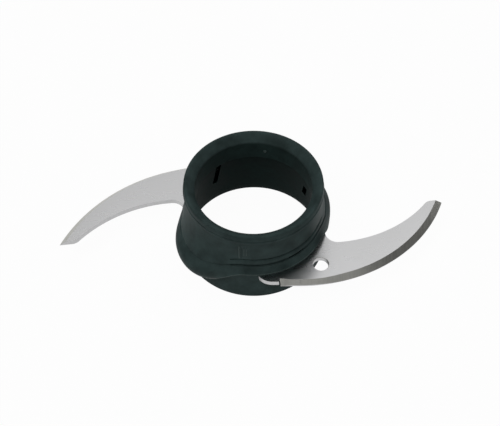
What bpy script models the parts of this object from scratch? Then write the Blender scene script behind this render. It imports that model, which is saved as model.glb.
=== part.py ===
"""Chopping knife of a compact food processor.

A moulded carrier ring slips over the machine's tool carrier. Two sickle blades, one the other
turned by half a turn, are set in it in one level. Each blade has a curved tang that lies inside
one of the two lobes of the ring's flange.

Metres, +Z up. The origin is on the ring's axis, in the plane of its foot. The first blade
points along +X and is ground along its convex edge, on its upper side.
"""
import math

import bmesh
import bpy
from mathutils import Matrix, Vector

HALF_TURN = math.pi

# Levels
RING_HEIGHT = 0.0399
BLADE_TOP = 0.0128
BLADE_THICKNESS = 0.0024

# Carrier ring: bore, sleeve and foot
BAND_RADIUS = 0.0251
BAND_TOP = RING_HEIGHT - 0.0033
LEDGE_WIDTH = 0.0012
LEDGE_HEIGHT = BAND_TOP - 0.0096
SLEEVE_TOP_RADIUS = BAND_RADIUS + 0.0046
FOOT_RADIUS = SLEEVE_TOP_RADIUS + 0.0023
FOOT_WALL = 0.0025
FOOT_EDGE = 0.0004

# Carrier ring: rim and wall
RIM_RADIUS = BAND_RADIUS + 0.0047
RIM_EDGE = 0.0005
RIM_EDGE_HEIGHT = RING_HEIGHT - 0.0005
CREST_RADIUS = RIM_RADIUS - 0.0010
LIP_EDGE = 0.0006
LIP_SWELL = ((0.55, 0.66), (0.85, 0.93))
COLLAR_RADIUS = RIM_RADIUS + 0.0004
COLLAR_FOOT = RING_HEIGHT - 0.0042
WAIST_RADIUS = RIM_RADIUS - 0.0005
WAIST_HEIGHT = COLLAR_FOOT - 0.0007
WALL_STEPS = 5

# Carrier ring: grooves and the skirt of its flange
SKIRT_RADIUS = SLEEVE_TOP_RADIUS + 0.0025
SKIRT_HEIGHT = BLADE_TOP + 0.0040
SKIRT_LAND = 0.0006
SKIRT_POWER = 1.5
SKIRT_FIRST_FALL = 0.15
GROOVE_DEPTH = 0.0005
GROOVE_WIDTH = 0.0010
GROOVE_FLOOR_SHARE = 0.4
GROOVE_RUN_OUT = 0.16
LOWER_GROOVE_RADIUS = SKIRT_RADIUS - 0.0019
LOWER_GROOVE_HEIGHT = SKIRT_HEIGHT + 0.0040
UPPER_GROOVE_RADIUS = LOWER_GROOVE_RADIUS - 0.0005
UPPER_GROOVE_HEIGHT = LOWER_GROOVE_HEIGHT + 0.0035

# Lobes of the flange, which swell out and reach down round the tangs
LOBE_RADIUS = SKIRT_RADIUS + 0.0055
LOBE_CREASE_RADIUS = LOBE_RADIUS - 0.0033
LOBE_CREASE_HEIGHT = BLADE_TOP + 0.0044
LOBE_MIDDLE_HEIGHT = BLADE_TOP - 0.0007
FLARE_POWER = 1.7
LOBE_BEAD_TURN = math.radians(68)
LOBE_BEAD_STEPS = 5
LOBE_BEAD_WIDTH = 0.0026
LOBE_BEAD_HALF_HEIGHT = 0.0039
LOBE_UNDERSIDE_DROP = 0.0006
SWELL_START = math.radians(152)
SWELL_PEAK = math.radians(219)
SWELL_END = math.radians(261)
DROP_START = math.radians(156)
DROP_FULL = math.radians(184)
DROP_HOLD = math.radians(228)
DROP_END = math.radians(264)

# Slots in the bore's wall
SLOT_WIDTH = 0.0022
SLOT_DEPTH = 0.0008
SLOT_LEAN = math.radians(4)
LONG_SLOT_AZIMUTH = math.radians(127.5)
LONG_SLOT_TOP = LEDGE_HEIGHT
LONG_SLOT_FOOT = LONG_SLOT_TOP - 0.0138
SHORT_SLOT_AZIMUTH = math.radians(33.5)
SHORT_SLOT_TOP = LEDGE_HEIGHT - 0.0088
SHORT_SLOT_FOOT = SHORT_SLOT_TOP - 0.0060

# Blades
EDGE_RADIUS = 0.0706
EDGE_PROUD = 0.0039
EDGE_START_X = 0.0199
EDGE_END = math.radians(-21.4)
TIP_LENGTH = 0.0072
TIP_LEAN = math.radians(186.5)
TIP_FILLET = 0.0040
BACK_RADIUS = 0.0581
BACK_ROOT = math.radians(-22.7)
BACK_FILLET = 0.0055
HEEL_CORNER_RADIUS = 0.0073
HEEL_CORNER_X = 0.0078
HEEL_INSET = 0.0007
TANG_INSET = 0.0001
TANG_WIDTH = 0.0024
TANG_END = math.radians(47)
GRIND_START_X = 0.0112
GRIND_STEP_X = GRIND_START_X - 0.0001
GRIND_STEP_WIDTH = 0.0006
GRIND_WIDTH = 0.0025
EDGE_LAND = 0.0002
HOLE_REACH = SLEEVE_TOP_RADIUS + 0.0077
HOLE_AZIMUTH = math.radians(-39.6)
HOLE_RADIUS = 0.0034
TANG_CLEARANCE = 0.0003

# Facets
RING_SECTIONS = 90
ARC_STEP = math.radians(3)
FILLET_STEP = math.radians(15)
CUT_MARGIN = 0.0010


def lerp(start, end, share):
    return start + (end - start) * share


def smooth_share(value, start, end):
    """Rises smoothly from 0 at start to 1 at end."""
    share = min(1.0, max(0.0, (value - start) / (end - start)))
    return share * share * (3 - 2 * share)


def swell_at(azimuth):
    """Share of the lobe in the ring's section at this azimuth; both lobes are alike."""
    place = (azimuth - SWELL_START) % HALF_TURN + SWELL_START
    return smooth_share(place, SWELL_START, SWELL_PEAK) * (1 - smooth_share(place, SWELL_PEAK, SWELL_END))


def drop_at(azimuth):
    """Share of the lobe's lowered underside at this azimuth."""
    place = (azimuth - DROP_START) % HALF_TURN + DROP_START
    return smooth_share(place, DROP_START, DROP_FULL) * (1 - smooth_share(place, DROP_HOLD, DROP_END))


def bore_radius(height):
    """Radius of the tapered bore between the foot and the ledge."""
    return lerp(FOOT_RADIUS - FOOT_WALL, BAND_RADIUS + LEDGE_WIDTH, height / LEDGE_HEIGHT)


def sleeve_radius(height):
    """Radius of the tapered sleeve between the foot and the blades' level."""
    return lerp(FOOT_RADIUS, SLEEVE_TOP_RADIUS, height / BLADE_TOP)


def all_round(points):
    """Stations that are the same all round: plain point, point on a lobe, and a groove's depth."""
    return [(point, point, 0.0) for point in points]


def rim_stations():
    """Sloping top lip, from the inner band over the crest, and the collar that hangs round it."""
    lip_rise = (RING_HEIGHT - BAND_TOP) / (CREST_RADIUS - BAND_RADIUS)
    stations = [
        (BAND_RADIUS, BAND_TOP - LIP_EDGE),
        (BAND_RADIUS + LIP_EDGE / 3, BAND_TOP),
        (BAND_RADIUS + LIP_EDGE, BAND_TOP + LIP_EDGE * lip_rise),
    ]
    for across, up in LIP_SWELL:
        stations.append((lerp(BAND_RADIUS, CREST_RADIUS, across), lerp(BAND_TOP, RING_HEIGHT, up)))
    stations += [
        (CREST_RADIUS, RING_HEIGHT),
        (RIM_RADIUS - RIM_EDGE / 2, RIM_EDGE_HEIGHT),
        (RIM_RADIUS, RIM_EDGE_HEIGHT - RIM_EDGE / 2),
        (COLLAR_RADIUS, COLLAR_FOOT + RIM_EDGE / 2),
        (COLLAR_RADIUS - RIM_EDGE / 2, COLLAR_FOOT),
    ]
    return all_round(stations)


def wall_stations():
    """Wall from the waist to the upper groove: nearly upright, and flared where a lobe is."""
    stations = []
    wall_end = UPPER_GROOVE_HEIGHT + GROOVE_WIDTH / 2
    for step in range(WALL_STEPS):
        share = step / WALL_STEPS
        plain = (lerp(WAIST_RADIUS, UPPER_GROOVE_RADIUS, share), lerp(WAIST_HEIGHT, wall_end, share))
        stations.append((plain, flared_point(flare_share(plain[1])), 0.0))
    return stations


def flare_share(height):
    """How far down the plain wall this height lies, from the waist (0) to the lower groove's foot (1)."""
    return (WAIST_HEIGHT - height) / (WAIST_HEIGHT - LOWER_GROOVE_HEIGHT + GROOVE_WIDTH / 2)


def flared_point(share):
    """Point of the lobe's flared wall, from the waist (0) to the crease above the bead (1)."""
    radius = lerp(WAIST_RADIUS, LOBE_CREASE_RADIUS, share ** FLARE_POWER)
    return (radius, lerp(WAIST_HEIGHT, LOBE_CREASE_HEIGHT, share))


def groove_stations(radius, height):
    """Narrow groove round the plain wall, which runs out in the lobe's smooth flare."""
    stations = []
    brink = GROOVE_WIDTH / 2
    floor = brink * GROOVE_FLOOR_SHARE
    for rise, depth in ((brink, 0.0), (floor, GROOVE_DEPTH), (-floor, GROOVE_DEPTH), (-brink, 0.0)):
        plain = (radius, height + rise)
        stations.append((plain, flared_point(flare_share(plain[1])), depth))
    return stations


def flange_stations():
    """Flange below the lower groove: a flared skirt, or the bead of a lobe."""
    stations = []
    for step in range(LOBE_BEAD_STEPS):
        share = step / (LOBE_BEAD_STEPS - 1)
        turn = lerp(LOBE_BEAD_TURN, -LOBE_BEAD_TURN, share)
        bead = (
            LOBE_RADIUS - LOBE_BEAD_WIDTH * (1 - math.cos(turn)),
            LOBE_MIDDLE_HEIGHT + LOBE_BEAD_HALF_HEIGHT * math.sin(turn),
        )
        fall = lerp(SKIRT_FIRST_FALL, 1.0, share)
        plain = (
            lerp(LOWER_GROOVE_RADIUS, SKIRT_RADIUS, fall ** SKIRT_POWER),
            lerp(LOWER_GROOVE_HEIGHT - GROOVE_WIDTH / 2, SKIRT_HEIGHT, fall),
        )
        stations.append((plain, bead, 0.0))
    bead_foot = stations[-1][1]
    underside = bead_foot[1] - LOBE_UNDERSIDE_DROP
    sleeve_top = underside - SKIRT_LAND
    plain_underside = [
        (SKIRT_RADIUS - SKIRT_LAND, SKIRT_HEIGHT - SKIRT_LAND / 2),
        (SLEEVE_TOP_RADIUS + SKIRT_LAND, SKIRT_HEIGHT - SKIRT_LAND),
        (SLEEVE_TOP_RADIUS, (BLADE_TOP + SKIRT_HEIGHT) / 2),
    ]
    lobed_underside = [
        (bead_foot[0] - SKIRT_LAND, underside),
        (SLEEVE_TOP_RADIUS + 3 * SKIRT_LAND, underside),
        (sleeve_radius(sleeve_top), sleeve_top),
    ]
    return stations + [(plain, lobed, 0.0) for plain, lobed in zip(plain_underside, lobed_underside)]


def sleeve_and_bore_stations():
    """Sleeve below the flange, the flat foot, the tapered bore, its ledge and the inner band."""
    sleeve_foot = FOOT_EDGE * 2
    stations = [
        (sleeve_radius(sleeve_foot), sleeve_foot),
        (FOOT_RADIUS - FOOT_EDGE / 4, FOOT_EDGE),
        (FOOT_RADIUS - FOOT_EDGE, 0.0),
        (bore_radius(0.0) + FOOT_EDGE, 0.0),
        (bore_radius(FOOT_EDGE), FOOT_EDGE),
        (bore_radius(BLADE_TOP), BLADE_TOP),
        (bore_radius(LEDGE_HEIGHT), LEDGE_HEIGHT),
        (BAND_RADIUS, LEDGE_HEIGHT),
    ]
    return all_round(stations)


def ring_stations():
    return (
        rim_stations()
        + wall_stations()
        + groove_stations(UPPER_GROOVE_RADIUS, UPPER_GROOVE_HEIGHT)
        + groove_stations(LOWER_GROOVE_RADIUS, LOWER_GROOVE_HEIGHT)
        + flange_stations()
        + sleeve_and_bore_stations()
    )


def loft_ring(name, stations, azimuths):
    """Closes a ring of lofted sections, each between the plain and the lobed section."""
    mesh = bpy.data.meshes.new(name)
    form = bmesh.new()
    rings = []
    for azimuth in azimuths:
        swell = swell_at(azimuth)
        drop = drop_at(azimuth)
        run_out = 1 - smooth_share(swell, 0.0, GROOVE_RUN_OUT)
        section = []
        for plain, lobed, depth in stations:
            radius = lerp(plain[0], lobed[0], swell) - depth * run_out
            height = lerp(plain[1], lobed[1], drop)
            section.append(form.verts.new((radius * math.cos(azimuth), radius * math.sin(azimuth), height)))
        rings.append(section)
    count = len(stations)
    for index, section in enumerate(rings):
        following = rings[(index + 1) % len(rings)]
        for place in range(count):
            onward = (place + 1) % count
            form.faces.new((section[place], section[onward], following[onward], following[place]))
    bmesh.ops.recalc_face_normals(form, faces=form.faces)
    form.to_mesh(mesh)
    form.free()
    return mesh


def unit(turn):
    return Vector((math.cos(turn), math.sin(turn)))


def arc(centre, radius, start, end, step=ARC_STEP):
    """Points along an arc, with both ends."""
    count = max(1, math.ceil(abs(end - start) / step))
    points = []
    for index in range(count + 1):
        turn = lerp(start, end, index / count)
        points.append(centre + radius * unit(turn))
    return points


def direction(vector):
    return math.atan2(vector.y, vector.x)


def circle_crossing(centre_a, radius_a, centre_b, radius_b, side):
    """Crossing of two circles, to the left (side 1) or right (side -1) of the line from a to b."""
    line = centre_b - centre_a
    along = (radius_a ** 2 - radius_b ** 2 + line.length_squared) / (2 * line.length)
    across = math.sqrt(max(0.0, radius_a ** 2 - along ** 2))
    ahead = line.normalized()
    return centre_a + along * ahead + side * across * Vector((-ahead.y, ahead.x))


def edge_arc(margin=0.0):
    """The convex cutting edge, from its lowest point near the heel to the tip."""
    lowest = sleeve_radius(BLADE_TOP) + EDGE_PROUD
    centre = Vector((EDGE_START_X, EDGE_RADIUS - lowest))
    return arc(centre, EDGE_RADIUS + margin, -HALF_TURN / 2, EDGE_END)


def rounded(before, corner, after, radius):
    """Arc that rounds a corner between two straight lines, turning clockwise."""
    inwards = (before - corner).normalized()
    onwards = (after - corner).normalized()
    half_angle = inwards.angle(onwards) / 2
    centre = corner + (inwards + onwards).normalized() * radius / math.sin(half_angle)
    start = direction(centre - corner) + HALF_TURN
    swing = HALF_TURN / 2 - half_angle
    return arc(centre, radius, start - swing, start + swing, FILLET_STEP)


def blade_outline(margin=0.0):
    """Blade and tang in plan, counter-clockwise, grown by margin where the ring holds it."""
    axis = Vector((0.0, 0.0))
    tang_inner = sleeve_radius(BLADE_TOP) - TANG_INSET
    tang_outer = tang_inner + TANG_WIDTH
    edge = edge_arc(margin)
    heel_foot = edge_arc()[0].y + HEEL_INSET
    heel_centre = Vector((HEEL_CORNER_X, heel_foot + HEEL_CORNER_RADIUS))
    heel_radius = HEEL_CORNER_RADIUS + margin
    root = circle_crossing(axis, tang_inner - margin, heel_centre, heel_radius, -1)
    heel_start = direction(root - heel_centre) % (2 * HALF_TURN)
    heel = arc(heel_centre, heel_radius, heel_start, 1.5 * HALF_TURN, FILLET_STEP)
    step = [Vector((GRIND_STEP_X - GRIND_STEP_WIDTH, heel_foot - margin)), Vector((GRIND_STEP_X, edge[0].y))]
    shoulder = edge[-1] + TIP_LENGTH * unit(TIP_LEAN)
    back_root = tang_outer * unit(BACK_ROOT)
    back_centre = circle_crossing(back_root, BACK_RADIUS, shoulder, BACK_RADIUS, 1)
    back_start = direction(shoulder - back_centre)
    back_onwards = shoulder + unit(back_start - HALF_TURN / 2)
    tip = rounded(edge[-1], shoulder, back_onwards, TIP_FILLET)
    fillet_reach = tang_outer + BACK_FILLET
    fillet_centre = circle_crossing(axis, fillet_reach, back_centre, BACK_RADIUS - BACK_FILLET, -1)
    back_end = direction(fillet_centre - back_centre)
    back = arc(back_centre, BACK_RADIUS - margin, direction(tip[-1] - back_centre), back_end)
    fillet_start = back_end % (2 * HALF_TURN)
    fillet_end = direction(-fillet_centre) % (2 * HALF_TURN)
    fillet = arc(fillet_centre, BACK_FILLET - margin, fillet_start, fillet_end, FILLET_STEP)
    tang_back = arc(axis, tang_outer + margin, direction(fillet_centre), TANG_END)
    cap_centre = (tang_inner + TANG_WIDTH / 2) * unit(TANG_END)
    cap = arc(cap_centre, TANG_WIDTH / 2 + margin, TANG_END, TANG_END + HALF_TURN, FILLET_STEP * 2)
    tang_front = arc(axis, tang_inner - margin, TANG_END, direction(root))
    return heel + step + edge + tip + back[1:] + fillet[1:] + tang_back[1:] + cap[1:] + tang_front[1:-1]


def closed_spline(curve, points):
    spline = curve.splines.new("POLY")
    spline.points.add(len(points) - 1)
    for slot, point in zip(spline.points, points):
        slot.co = (point[0], point[1], 0.0, 1.0)
    spline.use_cyclic_u = True


def plate(name, outlines, foot, top, collection):
    """Flat plate between two heights; outlines after the first are holes in it."""
    curve = bpy.data.curves.new(name, "CURVE")
    curve.dimensions = "2D"
    curve.fill_mode = "BOTH"
    curve.extrude = (top - foot) / 2
    for outline in outlines:
        closed_spline(curve, outline)
    drawn = bpy.data.objects.new(name + "_outline", curve)
    drawn.location.z = (foot + top) / 2
    collection.objects.link(drawn)
    return meshed(drawn, name, collection)


def meshed(drawn, name, collection):
    """Makes a curve object a welded mesh object in its place, and removes the curve."""
    bpy.context.view_layer.update()
    evaluated = drawn.evaluated_get(bpy.context.evaluated_depsgraph_get())
    mesh = bpy.data.meshes.new_from_object(evaluated)
    mesh.transform(drawn.matrix_world)
    form = bmesh.new()
    form.from_mesh(mesh)
    bmesh.ops.remove_doubles(form, verts=form.verts, dist=0.000001)
    bmesh.ops.recalc_face_normals(form, faces=form.faces)
    form.to_mesh(mesh)
    form.free()
    made = bpy.data.objects.new(name, mesh)
    collection.objects.link(made)
    bpy.data.objects.remove(drawn)
    return made


def grind_cutter(collection):
    """Wedge swept along the convex edge, which leaves the ground bevel below it."""
    slope = (BLADE_THICKNESS - EDGE_LAND) / GRIND_WIDTH
    section = bpy.data.curves.new("grind_section", "CURVE")
    section.dimensions = "2D"
    top = BLADE_THICKNESS + CUT_MARGIN
    closed_spline(section, [
        (-GRIND_WIDTH - CUT_MARGIN / slope, top),
        (CUT_MARGIN, EDGE_LAND - CUT_MARGIN * slope),
        (CUT_MARGIN, top),
    ])
    profile = bpy.data.objects.new("grind_section", section)
    collection.objects.link(profile)
    edge = edge_arc()
    overrun = edge[-1] + (edge[-1] - edge[-2]).normalized() * 2 * CUT_MARGIN
    route = [Vector((GRIND_START_X, edge[0].y))] + edge + [overrun]
    curve = bpy.data.curves.new("grind_route", "CURVE")
    curve.dimensions = "3D"
    curve.twist_mode = "Z_UP"
    curve.bevel_mode = "OBJECT"
    curve.bevel_object = profile
    curve.use_fill_caps = True
    spline = curve.splines.new("POLY")
    spline.points.add(len(route) - 1)
    for slot, point in zip(spline.points, route):
        slot.co = (point.x, point.y, BLADE_TOP - BLADE_THICKNESS, 1.0)
    drawn = bpy.data.objects.new("grind_route", curve)
    collection.objects.link(drawn)
    cutter = meshed(drawn, "grind_cutter", collection)
    bpy.data.objects.remove(profile)
    return cutter


def as_cutter(body):
    body.hide_render = True
    body.display_type = "WIRE"
    return body


def cut(body, cutter, name):
    """Boolean difference that stays on the body as a modifier."""
    modifier = body.modifiers.new(name, "BOOLEAN")
    modifier.operation = "DIFFERENCE"
    modifier.solver = "EXACT"
    modifier.object = as_cutter(cutter)


def turned(body, name, collection):
    """A copy of the body's mesh, turned by half a turn about the ring's axis."""
    mesh = body.data.copy()
    mesh.transform(Matrix.Rotation(HALF_TURN, 4, "Z"))
    copy = bpy.data.objects.new(name, mesh)
    collection.objects.link(copy)
    return copy


def slot_cutter(name, azimuth, foot, top, collection):
    """Leaning bar that cuts a shallow slot in the bore's wall."""
    middle = (foot + top) / 2
    reach = bore_radius(middle) + SLOT_DEPTH
    taper = math.atan2(bore_radius(foot) - bore_radius(top), top - foot)
    lean = SLOT_LEAN * reach / (top - foot)
    mesh = bpy.data.meshes.new(name)
    form = bmesh.new()
    bmesh.ops.create_cube(form, size=1.0)
    bmesh.ops.scale(form, verts=form.verts, vec=(4 * SLOT_DEPTH, SLOT_WIDTH, top - foot))
    bmesh.ops.translate(form, verts=form.verts, vec=(-2 * SLOT_DEPTH, 0.0, 0.0))
    place = (
        Matrix.Rotation(azimuth, 4, "Z")
        @ Matrix.Translation((reach, 0.0, middle))
        @ Matrix.Rotation(-taper, 4, "Y")
        @ Matrix.Rotation(math.atan(lean), 4, "X")
    )
    bmesh.ops.transform(form, verts=form.verts, matrix=place)
    form.to_mesh(mesh)
    form.free()
    body = bpy.data.objects.new(name, mesh)
    collection.objects.link(body)
    return body


def plastic(name):
    material = bpy.data.materials.new(name)
    material.use_nodes = True
    shader = material.node_tree.nodes["Principled BSDF"]
    shader.inputs["Base Color"].default_value = (0.012, 0.016, 0.015, 1.0)
    shader.inputs["Roughness"].default_value = 0.42
    shader.inputs["Metallic"].default_value = 0.0
    return material


def steel(name):
    material = bpy.data.materials.new(name)
    material.use_nodes = True
    shader = material.node_tree.nodes["Principled BSDF"]
    shader.inputs["Base Color"].default_value = (0.62, 0.63, 0.62, 1.0)
    shader.inputs["Roughness"].default_value = 0.3
    shader.inputs["Metallic"].default_value = 1.0
    return material


def build_blades(parts, tools):
    """The two alike blades, ground and punched."""
    foot = BLADE_TOP - BLADE_THICKNESS
    hole = arc(HOLE_REACH * unit(HOLE_AZIMUTH), HOLE_RADIUS, 0.0, 2 * HALF_TURN, FILLET_STEP)[:-1]
    blade = plate("blade_right", [blade_outline(), hole], foot, BLADE_TOP, parts)
    grind = grind_cutter(tools)
    second = turned(blade, "blade_left", parts)
    second_grind = turned(grind, "grind_cutter_left", tools)
    cut(blade, grind, "grind")
    cut(second, second_grind, "grind")
    for body in (blade, second):
        body.data.materials.clear()
        body.data.materials.append(bpy.data.materials["blade_steel"])
    return blade, second


def build_ring(parts, tools):
    """The moulded ring, with a pocket for each tang and two pairs of slots in its bore."""
    azimuths = [2 * HALF_TURN * index / RING_SECTIONS for index in range(RING_SECTIONS)]
    ring = bpy.data.objects.new("carrier_ring", loft_ring("carrier_ring", ring_stations(), azimuths))
    parts.objects.link(ring)
    foot = BLADE_TOP - BLADE_THICKNESS - TANG_CLEARANCE
    top = BLADE_TOP + TANG_CLEARANCE
    pocket = plate("tang_pocket", [blade_outline(TANG_CLEARANCE)], foot, top, tools)
    cutters = [
        pocket,
        slot_cutter("long_slot", LONG_SLOT_AZIMUTH, LONG_SLOT_FOOT, LONG_SLOT_TOP, tools),
        slot_cutter("short_slot", SHORT_SLOT_AZIMUTH, SHORT_SLOT_FOOT, SHORT_SLOT_TOP, tools),
    ]
    for cutter in cutters:
        opposite = turned(cutter, cutter.name + "_opposite", tools)
        cut(ring, cutter, cutter.name)
        cut(ring, opposite, opposite.name)
    ring.data.materials.append(bpy.data.materials["ring_plastic"])
    ring.data.shade_smooth()
    ring.data.set_sharp_from_angle(angle=math.radians(35))
    return ring


def main():
    for body in list(bpy.data.objects):
        bpy.data.objects.remove(body)
    parts = bpy.data.collections.new("food_processor_knife")
    tools = bpy.data.collections.new("cutters")
    bpy.context.scene.collection.children.link(parts)
    bpy.context.scene.collection.children.link(tools)
    plastic("ring_plastic")
    steel("blade_steel")
    build_blades(parts, tools)
    build_ring(parts, tools)


main()
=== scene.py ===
"""Looks of a food processor's chopping knife: a black moulded carrier ring and two ground steel blades.

Metres, +Z up. The ring stands on its foot at z = 0 and its axis is the Z axis. The first blade
points along +X, and the second is the same blade turned by half a turn about the axis.
"""
import math

import bmesh
import bpy
from bpy.props import FloatProperty, FloatVectorProperty, IntProperty, PointerProperty
from bpy.types import Operator, Panel, PropertyGroup
from mathutils import Matrix, Vector


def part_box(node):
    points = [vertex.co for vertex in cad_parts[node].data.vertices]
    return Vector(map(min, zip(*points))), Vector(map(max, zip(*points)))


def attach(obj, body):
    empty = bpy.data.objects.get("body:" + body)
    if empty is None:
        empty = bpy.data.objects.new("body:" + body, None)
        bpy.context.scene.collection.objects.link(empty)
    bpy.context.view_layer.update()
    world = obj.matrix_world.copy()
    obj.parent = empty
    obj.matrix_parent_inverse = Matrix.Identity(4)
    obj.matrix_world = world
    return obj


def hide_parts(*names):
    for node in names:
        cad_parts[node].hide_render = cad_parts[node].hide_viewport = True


bl_info = {
    "name": "Food Processor Knife",
    "version": (1, 0, 0),
    "blender": (4, 5, 0),
    "location": "View3D > Sidebar > Knife",
    "description": "Chopping knife with a moulded carrier ring and two ground steel blades",
    "category": "Add Mesh",
}

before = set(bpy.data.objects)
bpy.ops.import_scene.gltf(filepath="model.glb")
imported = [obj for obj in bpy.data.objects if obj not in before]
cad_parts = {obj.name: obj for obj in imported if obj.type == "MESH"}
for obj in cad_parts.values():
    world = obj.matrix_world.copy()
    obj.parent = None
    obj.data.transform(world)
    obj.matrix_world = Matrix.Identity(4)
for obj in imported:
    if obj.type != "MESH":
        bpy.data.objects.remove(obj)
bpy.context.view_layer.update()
RING_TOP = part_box("carrier_ring")[1][2]
BLADE_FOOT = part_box("blade_right")[0][2]
BLADE_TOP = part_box("blade_right")[1][2]

QUARTER_TURN = math.pi / 2
HALF_TURN = math.pi
FULL_TURN = 2 * math.pi
UP = Vector((0.0, 0.0, 1.0))

# Smaller than any step that sets one finish apart from another
HAIR = 0.00005

# Extent of each lobe round the ring, as azimuths
SWELL_START = math.radians(152)
SWELL_PEAK = math.radians(219)
SWELL_END = math.radians(261)
DROP_START = math.radians(156)
DROP_FULL = math.radians(184)
DROP_HOLD = math.radians(228)
DROP_END = math.radians(264)

# From the ring's top down to the lip's inner edge, the waist, the edge of the inner band and the ledge
LIP_DROP = 0.0037
WAIST_DROP = 0.0049
BAND_DROP = 0.0128
LEDGE_DROP = 0.0129

# From the rim's radius in to the waist, and to where the wall's outer side begins
WAIST_INSET = 0.0005
WALL_INSET = 0.0007

# Lower edge of the skirt between the lobes, and how far the skirt flares below the lower groove
SKIRT_EDGE = BLADE_TOP + 0.0040
SKIRT_FLARE = 0.0019
# The skirt's outermost band, painted lighter as a highlight along its edge
SKIRT_HIGHLIGHT_BAND = 0.00035

# Section of a groove: height over its middle, and the share of its depth there
GROOVE_SECTION = (
    (0.00075, 0.0),
    (0.00055, 0.25),
    (0.0003, 0.85),
    (0.0, 1.0),
    (-0.0003, 0.85),
    (-0.00055, 0.25),
    (-0.00075, 0.0),
)
# More of its depth than this is the floor of a groove
GROOVE_FLOOR = 0.8
# Shares of the lobe in the section: where the upper groove has faded out, and between which the lower
# groove's floor is painted in deep shade
UPPER_GROOVE_END = 0.16
GROOVE_SHADE_START = 0.01
GROOVE_SHADE_END = 0.15

# Seam, ribs and pad on the wall: azimuth, half width and fade in degrees, then foot, top and how proud
WALL_MARKS = (
    (78.1, 0.50, 0.6, 0.0252, 0.0327, 0.00030),
    (80.4, 0.55, 0.6, 0.0258, 0.0320, -0.00025),
    (82.0, 0.45, 0.6, 0.0266, 0.0320, 0.00016),
    (83.8, 0.45, 0.6, 0.0266, 0.0320, 0.00016),
    (71.5, 5.0, 2.0, 0.0300, 0.0322, 0.00014),
)
MARKS_START = 64.0
MARKS_END = 86.5
# The seam and ribs stand prouder than this, and the pad less; faces prouder than this get the painted
# highlight
PAINTED_HIGHLIGHT_RELIEF = 0.000145

# Slots in the bore: azimuth and lean in degrees, then its top's drop below the ledge and its length
SLOTS = (
    (127.5, 8.5, 0.0, 0.0138),
    (33.5, 16.0, 0.0088, 0.0068),
)
SLOT_WIDTH = 0.0026
# Faces of a slot lie within so many degrees of its azimuth, and no deeper than this in the wall; these faces
# are painted in deep shade
SLOT_SPAN = 7.0
SLOT_REACH = 0.0022

# Middle of the cutting edge's arc along the blade
EDGE_MIDDLE = 0.0199

# Where the ground bevel starts, in the middle of the narrow notch beside the heel
GRIND_START = 0.0109
NOTCH_WIDTH = 0.0006
NOTCH_DEPTH = 0.0014

# How squarely a face of the ring looks away from the axis: less than the first, it isn't on the outer side,
# and less than the second, it is inside the bore
LOOKS_OUT = 0.5
LOOKS_IN = -0.3

# Indices of the finishes on the ring, all but the satin one painted shade or painted highlight, and of those
# on the blades, the last two with painted shade
SATIN, PAINTED_SHADE, PAINTED_HIGHLIGHT, PAINTED_DEEP_SHADE, PAINTED_BAND_SHADE = range(5)
ROLLED, GROUND, SHEARED_SHADED, NOTCH_SHADE = range(4)

# Noise values that give a material the low and the high end of its range
NOISE_LOW = 0.3
NOISE_HIGH = 0.7

# Share of plain white in what the camera sees of the floor
FLOOR_WHITE = 0.965

# Place and size of each lamp, which all face the knife
LAMPS = {
    "top_lamp": ((0.09, 0.56, 0.92), (0.95, 1.2)),
    "crown_lamp": ((-0.14, 0.26, 1.10), (0.35, 0.35)),
    "back_lamp": ((0.55, 0.45, 0.85), (0.6, 0.6)),
    "front_lamp": ((0.27, -0.78, 0.80), (1.0, 0.35)),
    "left_lamp": ((-0.44, -0.30, 0.92), (0.4, 0.4)),
    "right_lamp": ((0.84, 0.50, 0.33), (0.3, 0.3)),
}

# Image that the camera frames, in pixels, and where in it the ring's axis meets the blades' top
IMAGE_WIDTH = 500
IMAGE_HEIGHT = 426
AXIS_COLUMN = 253.75
AXIS_ROW = 220.5
SENSOR_WIDTH = 36.0
CAMERA_ROLL = math.radians(-0.4)


class RingSizes(PropertyGroup):
    height: FloatProperty(
        name="Height", description="Height of the ring over its foot",
        default=RING_TOP, unit="LENGTH", precision=4)
    band_radius: FloatProperty(
        name="Band radius", description="Radius of the inner band",
        default=0.0251, unit="LENGTH", precision=4)
    ledge_width: FloatProperty(
        name="Ledge width", description="Width of the ledge under the inner band",
        default=0.0012, unit="LENGTH", precision=4)
    rim_radius: FloatProperty(
        name="Rim radius", description="Outer radius of the top rim",
        default=0.0298, unit="LENGTH", precision=4)
    foot_radius: FloatProperty(
        name="Foot radius", description="Outer radius of the foot",
        default=0.0320, unit="LENGTH", precision=4)
    foot_wall: FloatProperty(
        name="Foot wall", description="Width of the flat foot",
        default=0.0025, unit="LENGTH", precision=4)
    sleeve_radius: FloatProperty(
        name="Sleeve radius", description="Radius of the sleeve at the blades",
        default=0.0297, unit="LENGTH", precision=4)
    skirt_radius: FloatProperty(
        name="Skirt radius", description="Outer radius of the flange between the lobes",
        default=0.0322, unit="LENGTH", precision=4)
    lobe_radius: FloatProperty(
        name="Lobe radius", description="Outer radius of each lobe",
        default=0.0377, unit="LENGTH", precision=4)
    groove_depth: FloatProperty(
        name="Groove depth", description="Depth of the upper groove, and a third of the lower one's",
        default=0.0007, unit="LENGTH", precision=4)
    sections: IntProperty(
        name="Sections", description="Sections round the ring",
        default=288, min=48, max=720)


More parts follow.
